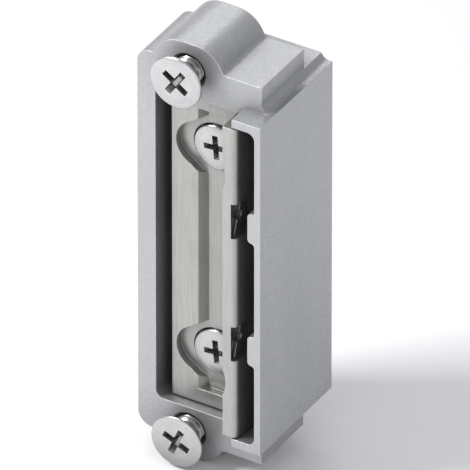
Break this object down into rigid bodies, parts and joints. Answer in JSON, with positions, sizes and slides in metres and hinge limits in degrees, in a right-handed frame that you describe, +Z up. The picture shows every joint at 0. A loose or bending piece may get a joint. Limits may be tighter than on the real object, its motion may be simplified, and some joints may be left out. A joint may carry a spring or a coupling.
{
  "type": "electric door strike",
  "caption": "Compact electric door strike: die-cast housing with screw lugs and a side block, holding an adjustable L-shaped keeper jaw on a swinging carrier.",
  "frame": {"origin": "midway between the two fixing screws, on the front face of the housing where the faceplate seats", "axes": "+X across the front towards the side block, +Y into the door frame, +Z up along the line of the fixing screws"},
  "size_m": [0.0239, 0.0213, 0.076],
  "materials": {
    "zinc": "satin die-cast zinc with a fine silver finish",
    "plated": "zinc-plated sheet",
    "screw": "bright zinc-plated",
    "jaw": "nickel-plated, fine grain",
    "steel": "plain machined",
    "iron": "plated soft iron",
    "spring": "spring wire",
    "rubber": "matte",
    "plastic": "matte black",
    "copper": "enamelled copper wire",
    "brass": "bright",
    "insulation": "soft",
    "diode": "gloss"
  },
  "bodies": {
    "body": {"housing": "zinc", "back_plate": "plated", "back_plate_screw_1": "screw", "back_plate_screw_2": "screw", "back_plate_screw_3": "screw", "back_plate_screw_4": "screw", "fixing_screw_top": "screw", "fixing_screw_bottom": "screw", "pivot_pin": "steel", "keeper_spring": "spring", "stop_pad": "rubber", "pawl_stud": "steel", "pawl_clip": "spring", "pawl_spring": "spring", "armature_pin": "steel", "armature_spring": "spring", "coil_bobbin": "plastic", "coil_winding": "copper", "coil_core": "iron", "yoke": "iron", "yoke_screw_upper": "screw", "yoke_screw_lower": "screw", "terminal_block": "plastic", "terminal_clamp_a": "brass", "terminal_clamp_b": "brass", "terminal_screw_a": "screw", "terminal_screw_b": "screw", "lead_wire_a": "insulation", "lead_wire_b": "insulation", "suppressor_diode": "diode"},
    "keeper": {"keeper_carrier": "steel", "adjusting_screw_top": "screw", "adjusting_screw_bottom": "screw"},
    "jaw": {"keeper_jaw": "jaw"},
    "lock_lever": {"pawl": "steel"},
    "armature": {"armature": "iron"}
  },
  "joints": [
    {"name": "keeper_swing", "type": "hinge", "parent": "body", "child": "keeper", "pos_m": [0.0115, 0.0062, 0], "axis": [0, 0, 1], "range_deg": [0, 15], "stiffness_Nm_per_rad": 0.05, "springref_deg": -20.05, "deforming": ["keeper_spring"]},
    {"name": "jaw_adjust", "type": "slide", "parent": "keeper", "child": "jaw", "axis": [1, 0, 0], "range_m": [-0.001, 0]},
    {"name": "pawl_turn", "type": "hinge", "parent": "body", "child": "lock_lever", "pos_m": [0.0084, 0.0117, 0.0042], "axis": [0, 1, 0], "range_deg": [-11.2, 0], "deforming": ["pawl_spring"]},
    {"name": "armature_turn", "type": "hinge", "parent": "body", "child": "armature", "pos_m": [-0.0046, 0.0117, -0.0047], "axis": [0, 1, 0], "range_deg": [0, 5.7], "deforming": ["armature_spring"]}
  ],
  "couplings": [
    {"joint": "pawl_turn", "follows": "keeper_swing", "ratio": -0.73333},
    {"joint": "armature_turn", "follows": "keeper_swing", "ratio": 0.37333}
  ]
}
